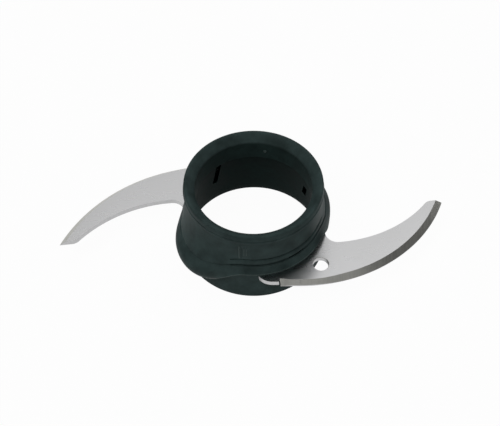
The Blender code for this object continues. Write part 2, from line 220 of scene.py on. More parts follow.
class BladeSizes(PropertyGroup):
    edge_radius: FloatProperty(
        name="Edge radius", description="Radius of the convex cutting edge",
        default=0.0706, unit="LENGTH", precision=4)
    edge_reach: FloatProperty(
        name="Edge reach", description="How far the edge lies from the ring's axis at the heel",
        default=0.0336, unit="LENGTH", precision=4)
    back_radius: FloatProperty(
        name="Back radius", description="Radius of the concave back",
        default=0.0581, unit="LENGTH", precision=4)
    grind_width: FloatProperty(
        name="Grind width", description="Width of the ground bevel at the heel",
        default=0.0023, unit="LENGTH", precision=4)
    grind_growth: FloatProperty(
        name="Grind growth", description="How much wider the bevel is at the tip",
        default=0.0006, unit="LENGTH", precision=4)
    edge_land: FloatProperty(
        name="Edge land", description="Thickness left at the cutting edge",
        default=0.0002, unit="LENGTH", precision=5)
    hole_radius: FloatProperty(
        name="Hole radius", description="Radius of the punched hole",
        default=0.0034, unit="LENGTH", precision=4)


class Finishes(PropertyGroup):
    plastic_colour: FloatVectorProperty(
        name="Plastic colour", description="Colour of the moulded ring",
        default=(0.0365, 0.0560, 0.0545), subtype="COLOR", size=3, min=0.0, max=1.0)
    plastic_roughness: FloatProperty(
        name="Plastic roughness", description="Roughness of the moulded ring",
        default=0.50, min=0.0, max=1.0)
    # Painted highlight: a lighter, glossier copy of the plastic on the nubs, the skirt's outer band and the
    # proud seam and ribs
    highlight_colour: FloatVectorProperty(
        name="Painted highlight colour", description="Colour of the seam, ribs and edges that stand proud",
        default=(0.050, 0.072, 0.068), subtype="COLOR", size=3, min=0.0, max=1.0)
    # Painted shade: the inner band's plastic, darker than the satin outside and lighter than the bore below
    band_shade_colour: FloatVectorProperty(
        name="Band shade colour", description="Colour of the inner band",
        default=(0.0215, 0.0385, 0.0363), subtype="COLOR", size=3, min=0.0, max=1.0)
    # Painted shade: the plastic in the bore below the band and on the groove floors, darker than the satin
    # outside; its roughness is its own
    recess_shade_colour: FloatVectorProperty(
        name="Recess shade colour", description="Colour of the duller plastic inside the bore",
        default=(0.0115, 0.0215, 0.0200), subtype="COLOR", size=3, min=0.0, max=1.0)
    bore_roughness: FloatProperty(
        name="Bore roughness", description="Roughness of the plastic inside the bore",
        default=0.6, min=0.0, max=1.0)
    # Painted deep shade: near black in the slots and on the lower groove's floor where a lobe starts
    deep_shade_colour: FloatVectorProperty(
        name="Deep shade colour", description="Colour of the plastic deep in the slots",
        default=(0.0015, 0.0030, 0.0028), subtype="COLOR", size=3, min=0.0, max=1.0)
    steel_colour: FloatVectorProperty(
        name="Steel colour", description="Colour of the blades' flat faces",
        default=(0.78, 0.78, 0.785), subtype="COLOR", size=3, min=0.0, max=1.0)
    steel_roughness: FloatProperty(
        name="Steel roughness", description="Roughness of the blades' flat faces",
        default=0.28, min=0.0, max=1.0)
    ground_colour: FloatVectorProperty(
        name="Ground steel colour", description="Colour of the ground bevel",
        default=(0.46, 0.46, 0.43), subtype="COLOR", size=3, min=0.0, max=1.0)
    ground_roughness: FloatProperty(
        name="Ground steel roughness", description="Roughness of the ground bevel",
        default=0.34, min=0.0, max=1.0)
    # The upright sides are rougher steel; their darker colour is painted shade
    sheared_shade_colour: FloatVectorProperty(
        name="Sheared steel shade colour", description="Colour of the blades' upright sides",
        default=(0.53, 0.53, 0.535), subtype="COLOR", size=3, min=0.0, max=1.0)
    floor_colour: FloatVectorProperty(
        name="Floor colour", description="Colour of the floor",
        default=(0.86, 0.86, 0.86), subtype="COLOR", size=3, min=0.0, max=1.0)


class StageSettings(PropertyGroup):
    elevation: FloatProperty(
        name="Camera elevation", description="Camera's angle above the floor",
        default=math.radians(52.5), subtype="ANGLE")
    distance: FloatProperty(
        name="Camera distance", description="From the camera to the middle of the knife",
        default=0.420, unit="LENGTH")
    focal_pixels: FloatProperty(
        name="Focal length", description="Focal length in pixels of the image",
        default=940.8)
    world_level: FloatProperty(
        name="World level", description="Strength of the plain surroundings",
        default=0.16, min=0.0)
    top_lamp: FloatProperty(
        name="Top lamp", description="Power of the large lamp behind",
        default=1.65, min=0.0)
    crown_lamp: FloatProperty(
        name="Crown lamp", description="Power of the smaller lamp overhead",
        default=1.3, min=0.0)
    back_lamp: FloatProperty(
        name="Back lamp", description="Power of the lamp at the back right",
        default=0.35, min=0.0)
    front_lamp: FloatProperty(
        name="Front lamp", description="Power of the lamp behind the camera",
        default=1.0, min=0.0)
    left_lamp: FloatProperty(
        name="Left lamp", description="Power of the lamp at the front left",
        default=2.7, min=0.0)
    right_lamp: FloatProperty(
        name="Right lamp", description="Power of the low lamp at the right",
        default=0.55, min=0.0)


def lerp(start, end, share):
    return start + (end - start) * share


def smooth_share(value, start, end):
    """Rises smoothly from 0 at start to 1 at end."""
    share = min(1.0, max(0.0, (value - start) / (end - start)))
    return share * share * (3 - 2 * share)


def bump_at(place, middle, half_width, fade):
    """1 near the middle, falling smoothly to 0 over a fade that lies half on each side of the half width."""
    return 1 - smooth_share(abs(place - middle), half_width - fade / 2, half_width + fade / 2)


def unit(turn):
    return Vector((math.cos(turn), math.sin(turn), 0.0))


def direction(vector):
    return math.atan2(vector.y, vector.x)


def swell_at(azimuth):
    """Share of the lobe in the ring's section at this azimuth; both lobes are alike."""
    place = (azimuth - SWELL_START) % HALF_TURN + SWELL_START
    return smooth_share(place, SWELL_START, SWELL_PEAK) * (1 - smooth_share(place, SWELL_PEAK, SWELL_END))


def drop_at(azimuth):
    """Share of the lobe's lowered underside at this azimuth."""
    place = (azimuth - DROP_START) % HALF_TURN + DROP_START
    return smooth_share(place, DROP_START, DROP_FULL) * (1 - smooth_share(place, DROP_HOLD, DROP_END))


def groove_shares(swell):
    """How deep the upper and the lower groove are where the lobe has this share, in groove depths.

    The upper one fades out up the lobe. The lower one is three deep between the lobes and where it
    starts up a lobe, then one, and less along the lobe.
    """
    upper = 1 - smooth_share(swell, 0.0, UPPER_GROOVE_END)
    lower = 3 - 2 * smooth_share(swell, 0.10, 0.20) - 0.4 * smooth_share(swell, 0.3, 0.9)
    return upper, lower


def relief_at(azimuth, height):
    """How proud the moulded seam, ribs and pad stand of the plain wall; their twins are half a turn round."""
    turn = math.degrees(azimuth) % 180.0
    end_fade = 0.0008
    total = 0.0
    for middle, half_width, fade, foot, top, proud in WALL_MARKS:
        across = bump_at(turn, middle, half_width, fade)
        if across > 0.0:
            along = bump_at(height, (foot + top) / 2, (top - foot) / 2, end_fade)
            total += proud * across * along
    return total


def ledge_height(sizes):
    return sizes.height - LEDGE_DROP


def bore_radius(sizes, height):
    """Radius of the tapered bore between the foot and the ledge."""
    foot = sizes.foot_radius - sizes.foot_wall
    under_ledge = sizes.band_radius + sizes.ledge_width
    return lerp(foot, under_ledge, height / ledge_height(sizes))


# Profile of the ring. Each station is a plain point, the same point on a lobe, and the share there of the
# depth of the upper groove and of the lower one

def both(points):
    """Stations that are the same all round the ring."""
    return [(point, point, 0.0, 0.0) for point in points]


def rim_stations(sizes):
    """Sloping lip from the inner band over the crest, the thin outer edge and the collar under it."""
    band = sizes.band_radius
    rim = sizes.rim_radius
    top = sizes.height
    band_top = top - 0.0033
    crest = rim - 0.0010
    rounding = 0.0012
    rounding_middle = band_top - 0.00045
    points = []
    for turn in range(0, 49, 8):
        inwards = math.cos(math.radians(turn))
        rise = math.sin(math.radians(turn))
        points.append((band + rounding * (1 - inwards), rounding_middle + rounding * rise))
    slope = ((0.25, 0.34), (0.4, 0.51), (0.55, 0.66), (0.7, 0.80), (0.85, 0.925), (0.95, 0.985))
    points += [(lerp(band, crest, across), lerp(band_top, top, up)) for across, up in slope]
    points += [
        (crest, top),
        (crest + 0.0003, top - 0.0001),
        (rim - 0.0004, top - 0.00025),
        (rim - 0.00012, top - 0.00042),
        (rim, top - 0.00075),
        (rim + 0.00012, top - 0.0017),
        (rim + 0.00022, top - 0.00245),
        (rim + 0.00024, top - 0.00260),
        (rim + 0.00010, top - 0.00275),
        (rim + 0.00010, top - 0.00290),
        (rim + 0.00030, top - 0.00305),
        (rim + 0.00036, top - 0.00325),
        (rim + 0.0004, top - 0.0038),
        (rim + 0.00038, top - 0.0040),
        (rim + 0.00025, top - 0.00415),
        (rim + 0.00005, top - 0.0043),
        (rim - 0.0003, top - 0.0045),
        (rim - 0.00047, top - 0.0047),
    ]
    return both(points)


def flared_point(sizes, share):
    """Point of a lobe's flared wall, from the waist (0) to the crease above the bead (1)."""
    waist_radius = sizes.rim_radius - WAIST_INSET
    crease_radius = sizes.lobe_radius - 0.0033
    crease = BLADE_TOP + 0.0044
    return (lerp(waist_radius, crease_radius, share ** 1.7), lerp(sizes.height - WAIST_DROP, crease, share))


def wall_stations(sizes):
    """Wall from the waist down to the skirt, with its two grooves, flared where a lobe is."""
    waist_radius = sizes.rim_radius - WAIST_INSET
    waist = sizes.height - WAIST_DROP
    lower = SKIRT_EDGE + 0.0040
    upper = lower + 0.0032
    lower_radius = sizes.skirt_radius - SKIRT_FLARE
    upper_radius = lower_radius - 0.0005
    crease = lower - 0.0005
    section = [(lerp(waist, upper + 0.0010, step / 9), 0.0, 0.0) for step in range(10)]
    section += [(upper + rise, share, 0.0) for rise, share in GROOVE_SECTION]
    section += [(lerp(upper, lower, share), 0.0, 0.0) for share in (0.4, 0.6)]
    section += [(lower + rise, 0.0, share) for rise, share in GROOVE_SECTION]
    stations = []
    for height, upper_share, lower_share in section:
        if height > upper:
            radius = lerp(waist_radius, upper_radius, (waist - height) / (waist - upper))
        else:
            radius = lerp(upper_radius, lower_radius, (upper - height) / (upper - lower))
        share = (waist - height) / (waist - crease)
        stations.append(((radius, height), flared_point(sizes, min(1.0, share)), upper_share, lower_share))
    return stations


def flange_stations(sizes):
    """Flange below the lower groove: a flared skirt, or the bead of a lobe, and its underside."""
    skirt = sizes.skirt_radius
    skirt_start = SKIRT_EDGE + 0.0034
    bead_middle = BLADE_TOP - 0.0007
    bead_width = 0.0026
    bead_rise = 0.0039
    bead_turn = 68
    steps = 14
    stations = []
    for step in range(1, steps + 1):
        share = step / steps
        turn = math.radians(lerp(bead_turn, -bead_turn, share))
        bead_radius = sizes.lobe_radius - bead_width * (1 - math.cos(turn))
        fall = lerp(0.10, 1.0, share)
        plain = (lerp(skirt - SKIRT_FLARE, skirt, fall ** 1.5), lerp(skirt_start, SKIRT_EDGE, fall))
        stations.append((plain, (bead_radius, bead_middle + bead_rise * math.sin(turn)), 0.0, 0.0))
    bead_foot = stations[-1][1]
    under = bead_foot[1] - 0.0006
    sleeve = sizes.sleeve_radius
    stations += [
        ((skirt + 0.00002, SKIRT_EDGE - 0.0002), (bead_foot[0] - 0.0002, under + 0.0003), 0.0, 0.0),
        ((skirt - 0.00008, SKIRT_EDGE - 0.0004), (bead_foot[0] - 0.0005, under + 0.0001), 0.0, 0.0),
        ((skirt - 0.0003, SKIRT_EDGE - 0.0006), (bead_foot[0] - 0.0009, under), 0.0, 0.0),
        ((skirt - 0.0006, SKIRT_EDGE - 0.0007), (bead_foot[0] - 0.0014, under), 0.0, 0.0),
        ((sleeve + 0.0006, SKIRT_EDGE - 0.0008), (sleeve + 0.0018, under), 0.0, 0.0),
        ((sleeve + 0.0001, SKIRT_EDGE - 0.0012), (sleeve + 0.0008, under - 0.0001), 0.0, 0.0),
        ((sleeve, (BLADE_TOP + SKIRT_EDGE) / 2), (sleeve + 0.0005, under - 0.0008), 0.0, 0.0),
    ]
    return stations


def foot_and_bore_stations(sizes):
    """Sleeve, flat foot, tapered bore, ledge and inner band."""
    foot = sizes.foot_radius
    inner = foot - sizes.foot_wall
    band = sizes.band_radius
    ledge = ledge_height(sizes)
    under_ledge = band + sizes.ledge_width
    points = [(lerp(foot, sizes.sleeve_radius, height / BLADE_TOP), height)
              for height in (0.0070, 0.0060, 0.0048, 0.0036, 0.0024, 0.0010)]
    points += [
        (foot - 0.00008, 0.0004),
        (foot - 0.0002, 0.00015),
        (foot - 0.0004, 0.0),
        (inner + 0.0004, 0.0),
        (inner + 0.0001, 0.00015),
        (inner, 0.0004),
    ]
    points += [(bore_radius(sizes, height), height) for height in (0.004, 0.009, 0.014, 0.019, 0.024)]
    points += [
        (under_ledge + 0.00005, ledge - 0.0002),
        (under_ledge - 0.0002, ledge),
        (band + 0.0002, ledge),
        (band, ledge + 0.0002),
        (band, ledge + 0.0030),
        (band, ledge + 0.0060),
    ]
    return both(points)


def edges_by_marks(form):
    """Edges that run round the ring across the wall's marks, which need finer sections."""
    least_turn = 0.0001
    marked = []
    for edge in form.edges:
        first, second = (direction(vert.co) for vert in edge.verts)
        middle = (edge.verts[0].co + edge.verts[1].co) / 2
        inside = MARKS_START < math.degrees(direction(middle)) % 180.0 < MARKS_END
        if inside and abs(first - second) > least_turn:
            marked.append(edge)
    return marked


def ring_form(sizes):
    """The ring as one closed skin: its plain profile spun round the axis, then shaped to the lobes."""
    stations = rim_stations(sizes)
    stations += wall_stations(sizes)
    stations += flange_stations(sizes)
    stations += foot_and_bore_stations(sizes)
    form = bmesh.new()
    plain_radius = form.verts.layers.float.new("plain_radius")
    lobe_radius = form.verts.layers.float.new("lobe_radius")
    lobe_height = form.verts.layers.float.new("lobe_height")
    upper_groove = form.verts.layers.float.new("upper_groove")
    lower_groove = form.verts.layers.float.new("lower_groove")
    profile = []
    for plain, lobed, upper_share, lower_share in stations:
        vert = form.verts.new((plain[0], 0.0, plain[1]))
        vert[plain_radius] = plain[0]
        vert[lobe_radius] = lobed[0]
        vert[lobe_height] = lobed[1]
        vert[upper_groove] = upper_share
        vert[lower_groove] = lower_share
        profile.append(vert)
    for first, second in zip(profile, profile[1:] + profile[:1]):
        form.edges.new((first, second))
    bmesh.ops.spin(
        form, geom=form.verts[:] + form.edges[:], cent=(0.0, 0.0, 0.0), axis=UP, angle=FULL_TURN,
        steps=sizes.sections, use_merge=True)
    bmesh.ops.subdivide_edges(form, edges=edges_by_marks(form), cuts=5, use_grid_fill=True)
    for vert in form.verts:
        azimuth = direction(vert.co)
        swell = swell_at(azimuth)
        upper, lower = groove_shares(swell)
        radius = lerp(vert[plain_radius], vert[lobe_radius], swell)
        radius -= sizes.groove_depth * (vert[upper_groove] * upper + vert[lower_groove] * lower)
        if vert[plain_radius] > sizes.rim_radius - WALL_INSET:
            radius += relief_at(azimuth, vert.co.z)
        height = lerp(vert.co.z, vert[lobe_height], drop_at(azimuth))
        vert.co = (radius * math.cos(azimuth), radius * math.sin(azimuth), height)
    bmesh.ops.recalc_face_normals(form, faces=form.faces)
    return form


def new_piece(name, form):
    """Turns a form into an object of the scene."""
    mesh = bpy.data.meshes.new(name)
    form.to_mesh(mesh)
    form.free()
    piece = bpy.data.objects.new(name, mesh)
    bpy.context.scene.collection.objects.link(piece)
    return piece


def settle(body):
    """Applies what modifiers a piece has to its mesh."""
    bpy.context.view_layer.update()
    evaluated = body.evaluated_get(bpy.context.evaluated_depsgraph_get())
    mesh = bpy.data.meshes.new_from_object(evaluated)
    body.modifiers.clear()
    old = body.data
    body.data = mesh
    bpy.data.meshes.remove(old)


def joined(body, cutter, operation):
    """Cuts or unites a piece with another, applies the result and removes the other."""
    modifier = body.modifiers.new(operation.lower(), "BOOLEAN")
    modifier.operation = operation
    modifier.solver = "EXACT"
    modifier.object = cutter
    settle(body)
    bpy.data.objects.remove(cutter)


def on_wall(azimuth, radius, height, taper=0.0, lean=0.0):
    """Place on the ring's wall, with X pointing outwards and Z up along the wall."""
    return (
        Matrix.Rotation(azimuth, 4, "Z")
        @ Matrix.Translation((radius, 0.0, height))
        @ Matrix.Rotation(-taper, 4, "Y")
        @ Matrix.Rotation(lean, 4, "X")
    )


def slot_cutter(length, place):
    """A bar with rounded edges, put in its place; half of it lies in the wall."""
    form = bmesh.new()
    bmesh.ops.create_cube(form, size=1.0)
    bmesh.ops.scale(form, verts=form.verts, vec=(SLOT_WIDTH, SLOT_WIDTH, length))
    bmesh.ops.bevel(
        form, geom=form.edges[:], offset=0.0003, segments=3, profile=0.5, affect="EDGES", material=-1)
    bmesh.ops.transform(form, verts=form.verts, matrix=place)
    return new_piece("slot", form)


def cut_slots(ring, sizes):
    """A long leaning slot and a short one in the bore's wall, and their twins half a turn round."""
    ledge = ledge_height(sizes)
    taper = math.atan2(bore_radius(sizes, 0.0) - bore_radius(sizes, ledge), ledge)
    for azimuth, lean, drop, length in SLOTS:
        middle = ledge - drop - length / 2
        radius = bore_radius(sizes, middle)
        for turn in (0.0, HALF_TURN):
            place = on_wall(math.radians(azimuth) + turn, radius, middle, taper, math.radians(lean))
            joined(ring, slot_cutter(length, place), "DIFFERENCE")


def add_nubs(ring, sizes):
    """A small round nub on the inner band, and its twin half a turn round."""
    azimuth = math.radians(78)
    height = 0.0316
    sunk = 0.0003
    for turn in (0.0, HALF_TURN):
        form = bmesh.new()
        bmesh.ops.create_uvsphere(form, u_segments=24, v_segments=16, radius=0.00085)
        place = on_wall(azimuth + turn, sizes.band_radius + sunk, height)
        bmesh.ops.transform(form, verts=form.verts, matrix=place)
        joined(ring, new_piece("nub", form), "UNION")


def circle_crossing(centre_a, radius_a, centre_b, radius_b, side):
    """Crossing of two circles, to the left (side 1) or right (side -1) of the line from a to b."""
    line = centre_b - centre_a
    along = (radius_a ** 2 - radius_b ** 2 + line.length_squared) / (2 * line.length)
    across = math.sqrt(max(0.0, radius_a ** 2 - along ** 2))
    ahead = line.normalized()
    return centre_a + along * ahead + side * across * UP.cross(ahead)


def edge_centre(sizes):
    return Vector((EDGE_MIDDLE, sizes.edge_radius - sizes.edge_reach, 0.0))


def blade_arcs(sizes, ring_sizes):
    """The blade's outline in plan as arcs, counter-clockwise: centre, radius, start, end, step."""
    fine = math.radians(1.0)
    coarse = math.radians(6)
    axis = Vector((0.0, 0.0, 0.0))
    outermost = -sizes.edge_reach
    tang_inner = ring_sizes.sleeve_radius - 0.0001
    tang_outer = tang_inner + 0.0024
    tang_end = math.radians(47)
    cap = 0.0012
    cap_centre = (tang_inner + cap) * unit(tang_end)
    centre = edge_centre(sizes)
    edge_end = math.radians(-21.4)
    heel = 0.0073
    heel_along = 0.0078
    heel_inset = 0.0007
    heel_centre = Vector((heel_along, heel_inset + heel + outermost, 0.0))
    notch = NOTCH_WIDTH / 2
    notch_centre = Vector((GRIND_START, NOTCH_DEPTH - notch + outermost, 0.0))
    corner = 0.0001
    heel_corner = Vector((GRIND_START - notch - corner, heel_inset + outermost + corner, 0.0))
    edge_corner = Vector((GRIND_START + notch + corner, corner + outermost, 0.0))
    root = circle_crossing(axis, tang_inner, heel_centre, heel, -1)
    # The tip: a straight end from the edge to the shoulder, rounded into the back there
    end_length = 0.0072
    end_slant = math.radians(186.5)
    tip = centre + sizes.edge_radius * unit(edge_end)
    shoulder = tip + end_length * unit(end_slant)
    back = sizes.back_radius
    back_azimuth = math.radians(-22.7)
    back_root = tang_outer * unit(back_azimuth)
    back_centre = circle_crossing(back_root, back, shoulder, back, 1)
    inwards = (tip - shoulder).normalized()
    onwards = unit(direction(shoulder - back_centre) - QUARTER_TURN)
    half_angle = inwards.angle(onwards) / 2
    tip_rounding = 0.0040
    tip_centre = shoulder + (inwards + onwards).normalized() * tip_rounding / math.sin(half_angle)
    tip_middle = direction(tip_centre - shoulder) + HALF_TURN
    swing = QUARTER_TURN - half_angle
    tip_last = tip_centre + tip_rounding * unit(tip_middle + swing)
    fillet = 0.0055
    fillet_centre = circle_crossing(axis, tang_outer + fillet, back_centre, back - fillet, -1)
    back_end = direction(fillet_centre - back_centre)
    return [
        (heel_centre, heel, direction(root - heel_centre) % FULL_TURN, 3 * QUARTER_TURN, coarse),
        (heel_corner, corner, 3 * QUARTER_TURN, FULL_TURN, HALF_TURN / 4),
        (notch_centre, notch, HALF_TURN, 0.0, HALF_TURN / 6),
        (edge_corner, corner, HALF_TURN, 3 * QUARTER_TURN, HALF_TURN / 4),
        (centre, sizes.edge_radius, -QUARTER_TURN, edge_end, fine),
        (tip_centre, tip_rounding, tip_middle - swing, tip_middle + swing, coarse),
        (back_centre, back, direction(tip_last - back_centre), back_end, fine),
        (fillet_centre, fillet, back_end % FULL_TURN, direction(-fillet_centre) % FULL_TURN, coarse),
        (axis, tang_outer, direction(fillet_centre), tang_end, fine),
        (cap_centre, cap, tang_end, tang_end + HALF_TURN, 2 * coarse),
        (axis, tang_inner, tang_end, direction(root), fine),
    ]


def spun_arc(form, centre, radius, start, end, step):
    """Spins a vertex along an arc, and gives its first and last vertices."""
    first = form.verts.new(centre + radius * unit(start))
    steps = max(1, math.ceil(abs(end - start) / step))
    made = bmesh.ops.spin(
        form, geom=[first], cent=centre, axis=UP, angle=end - start, steps=steps, use_duplicate=False)
    last = [item for item in made["geom_last"] if isinstance(item, bmesh.types.BMVert)][0]
    return first, last


def extruded(form, faces, shift):
    """Extrudes faces by a shift, keeps the old ones, and gives the new ends of what was made."""
    made = bmesh.ops.extrude_face_region(form, geom=faces, use_keep_orig=True)
    moved = [item for item in made["geom"] if isinstance(item, bmesh.types.BMVert)]
    bmesh.ops.translate(form, verts=moved, vec=shift)
    return [item for item in made["geom"] if isinstance(item, bmesh.types.BMFace)]


def blade_form(sizes, ring_sizes):
    """The blade and its tang as a flat plate: the outline spun from its arcs, filled and extruded."""
    same_place = 0.00001
    form = bmesh.new()
    ends = [spun_arc(form, *arc) for arc in blade_arcs(sizes, ring_sizes)]
    for (_, last), (first, _) in zip(ends, ends[1:] + ends[:1]):
        if (last.co - first.co).length > same_place:
            form.edges.new((last, first))
    bmesh.ops.remove_doubles(form, verts=form.verts, dist=same_place)
    bmesh.ops.contextual_create(form, geom=form.edges[:])
    bmesh.ops.translate(form, verts=form.verts, vec=UP * BLADE_FOOT)
    extruded(form, form.faces[:], UP * (BLADE_TOP - BLADE_FOOT))
    bmesh.ops.recalc_face_normals(form, faces=form.faces)
    return form


def grind_form(sizes):
    """Wedge swept along the convex edge, which leaves the ground bevel and widens to the tip."""
    thickness = BLADE_TOP - BLADE_FOOT
    margin = 0.0010
    centre = edge_centre(sizes)
    slope = (thickness - sizes.edge_land) / sizes.grind_width
    form = bmesh.new()
    wedge = []
    for out, up in (
        (-sizes.grind_width - margin / slope, thickness + margin),
        (margin, sizes.edge_land - margin * slope),
        (margin, thickness + margin),
    ):
        wedge.append(form.verts.new((GRIND_START, -sizes.edge_reach - out, BLADE_FOOT + up)))
    straight = extruded(form, [form.faces.new(wedge)], (centre.x - GRIND_START, 0.0, 0.0))
    shortest = 0.001
    long_edges = [edge for edge in form.edges if abs(edge.verts[0].co.x - edge.verts[1].co.x) > shortest]
    sweep = math.radians(72)
    bmesh.ops.spin(
        form, geom=straight, cent=centre, axis=UP, angle=sweep, steps=96, use_duplicate=False)
    bmesh.ops.subdivide_edges(form, edges=long_edges, cuts=6, use_grid_fill=True)
    bmesh.ops.remove_doubles(form, verts=form.verts, dist=0.000001)
    widest = math.radians(-21)
    for vert in form.verts:
        turn = direction(vert.co - centre)
        shift = grind_shift(vert.co.x)
        if (vert.co - centre).xy.length < sizes.edge_radius:
            shift -= sizes.grind_growth * smooth_share(turn, -QUARTER_TURN, widest)
        vert.co += unit(turn) * shift
    bmesh.ops.recalc_face_normals(form, faces=form.faces)
    return form


def grind_shift(along):
    """How far outwards the wedge shifts this far along the blade: the bevel is narrower past the heel."""
    start_shift = -0.0001
    narrowing = 0.00045
    onset = smooth_share(along, 0.0112, 0.0165)
    dip = onset * (1 - smooth_share(along, 0.026, 0.040))
    return lerp(start_shift, 0.0, onset) + narrowing * dip


def hole_form(sizes, ring_sizes):
    """Punch for the hole, flared a little where it meets each face."""
    relief = 0.00015
    radius = sizes.hole_radius
    form = bmesh.new()
    profile = []
    for out, height in (
        (radius + 2 * relief, BLADE_FOOT - relief),
        (radius, BLADE_FOOT + relief),
        (radius, BLADE_TOP - relief),
        (radius + 2 * relief, BLADE_TOP + relief),
    ):
        profile.append(form.verts.new((out, 0.0, height)))
    for first, second in zip(profile, profile[1:]):
        form.edges.new((first, second))
    bmesh.ops.spin(
        form, geom=form.verts[:] + form.edges[:], cent=(0.0, 0.0, 0.0), axis=UP, angle=FULL_TURN, steps=64,
        use_merge=True)
    bmesh.ops.holes_fill(form, edges=[edge for edge in form.edges if edge.is_boundary], sides=0)
    bmesh.ops.recalc_face_normals(form, faces=form.faces)
    from_sleeve = 0.0077
    azimuth = math.radians(-39.6)
    bmesh.ops.translate(form, verts=form.verts, vec=(ring_sizes.sleeve_radius + from_sleeve) * unit(azimuth))
    return form


# Materials

def start_material(name):
    material = bpy.data.materials.new(name)
    material.use_nodes = True
    tree = material.node_tree
    return material, tree, tree.nodes["Principled BSDF"]


def add_node(tree, kind, **settings):
    node = tree.nodes.new(kind)
    for key, value in settings.items():
        setattr(node, key, value)
    return node


def noise(tree, scale, detail, stretch=(1.0, 1.0, 1.0)):
    """Noise on the piece's own coordinates, which may be stretched along an axis."""
    coordinates = add_node(tree, "ShaderNodeTexCoord")
    mapping = add_node(tree, "ShaderNodeMapping")
    mapping.inputs["Scale"].default_value = stretch
    tree.links.new(coordinates.outputs["Object"], mapping.inputs["Vector"])
    texture = add_node(tree, "ShaderNodeTexNoise")
    texture.inputs["Scale"].default_value = scale
    texture.inputs["Detail"].default_value = detail
    tree.links.new(mapping.outputs["Vector"], texture.inputs["Vector"])
    return texture.outputs["Fac"]


def vary_roughness(tree, shader, value, middle, waver):
    """Lets the roughness waver round its middle with a noise value."""
    ranged = add_node(tree, "ShaderNodeMapRange")
    ranged.inputs["From Min"].default_value = NOISE_LOW
    ranged.inputs["From Max"].default_value = NOISE_HIGH
    ranged.inputs["To Min"].default_value = middle - waver
    ranged.inputs["To Max"].default_value = middle + waver
    tree.links.new(value, ranged.inputs["Value"])
    tree.links.new(ranged.outputs["Result"], shader.inputs["Roughness"])


def vary_colour(tree, shader, value, colour, waver):
    """Lets the colour waver round its middle with a noise value."""
    ramp = add_node(tree, "ShaderNodeValToRGB")
    low, high = ramp.color_ramp.elements
    low.position = NOISE_LOW
    high.position = NOISE_HIGH
    low.color = [part * (1 - waver) for part in colour] + [1.0]
    high.color = [part * (1 + waver) for part in colour] + [1.0]
    tree.links.new(value, ramp.inputs["Fac"])
    tree.links.new(ramp.outputs["Color"], shader.inputs["Base Color"])


def bump(tree, shader, height, distance, strength):
    bumps = add_node(tree, "ShaderNodeBump")
    bumps.inputs["Distance"].default_value = distance
    bumps.inputs["Strength"].default_value = strength
    tree.links.new(height, bumps.inputs["Height"])
    tree.links.new(bumps.outputs["Normal"], shader.inputs["Normal"])


def moulded_plastic(name, colour, roughness, gloss):
    """Black plastic with the faint cloudiness and grain of a mould."""
    material, tree, shader = start_material(name)
    cool_white = (0.82, 1.0, 0.98, 1.0)
    cloud = noise(tree, scale=150.0, detail=3.0)
    grain = noise(tree, scale=2600.0, detail=2.0)
    vary_colour(tree, shader, cloud, colour, waver=0.30)
    vary_roughness(tree, shader, cloud, roughness, waver=0.05)
    bump(tree, shader, grain, distance=0.00003, strength=0.35)
    shader.inputs["Specular IOR Level"].default_value = gloss
    shader.inputs["Specular Tint"].default_value = cool_white
    return material


def ring_plastics(finishes):
    """The ring's finishes, in the order of their indices: the satin plastic, then its copies with painted
    shade, painted highlight, painted deep shade and the inner band's painted shade.
    """
    firm = finishes.plastic_roughness
    soft = finishes.bore_roughness
    return [
        moulded_plastic("ring_plastic_satin", finishes.plastic_colour, firm, gloss=0.05),
        # Painted shade in the bore and on the groove floors
        moulded_plastic("ring_plastic_dull", finishes.recess_shade_colour, soft, gloss=0.02),
        # Painted highlight
        moulded_plastic("ring_plastic_worn", finishes.highlight_colour, firm, gloss=0.14),
        # Painted deep shade
        moulded_plastic("ring_plastic_deep", finishes.deep_shade_colour, soft, gloss=0.0),
        # Painted shade on the inner band
        moulded_plastic("ring_plastic_band", finishes.band_shade_colour, soft, gloss=0.02),
    ]


def rolled_steel(finishes):
    """Satin sheet steel with a fine grain along the blade and faint clouds."""
    material, tree, shader = start_material("blade_steel_satin")
    cloud = noise(tree, scale=45.0, detail=2.0)
    grain = noise(tree, scale=700.0, detail=1.0, stretch=(0.12, 1.0, 1.0))
    vary_colour(tree, shader, cloud, finishes.steel_colour, waver=0.015)
    vary_roughness(tree, shader, grain, finishes.steel_roughness, waver=0.01)
    shader.inputs["Metallic"].default_value = 1.0
    return material


def ground_steel(finishes):
    """Ground bevel, with the fine lines that the wheel leaves across it."""
    material, tree, shader = start_material("blade_steel_ground")
    lines = noise(tree, scale=1500.0, detail=2.0, stretch=(1.0, 0.10, 0.10))
    vary_colour(tree, shader, lines, finishes.ground_colour, waver=0.06)
    vary_roughness(tree, shader, lines, finishes.ground_roughness, waver=0.04)
    bump(tree, shader, lines, distance=0.00001, strength=0.3)
    shader.inputs["Metallic"].default_value = 1.0
    return material


def sheared_shaded_steel(finishes):
    """Duller steel where the blade was punched out of the sheet; its darker colour is painted shade."""
    material, tree, shader = start_material("blade_steel_sheared")
    grain = noise(tree, scale=1200.0, detail=2.0, stretch=(1.0, 1.0, 0.15))
    vary_colour(tree, shader, grain, finishes.sheared_shade_colour, waver=0.04)
    shader.inputs["Roughness"].default_value = 0.45
    shader.inputs["Metallic"].default_value = 1.0
    return material


def notch_shade():
    """Painted shade in the notch: a near-black, dull surface where the notch lies in shade."""
    material, _, shader = start_material("blade_steel_notch")
    shader.inputs["Base Color"].default_value = (0.012, 0.016, 0.016, 1.0)
    shader.inputs["Roughness"].default_value = 0.7
    shader.inputs["Specular IOR Level"].default_value = 0.1
    return material


def blade_steels(finishes):
    """The blades' finishes, in the order of their indices."""
    return [rolled_steel(finishes), ground_steel(finishes), sheared_shaded_steel(finishes), notch_shade()]


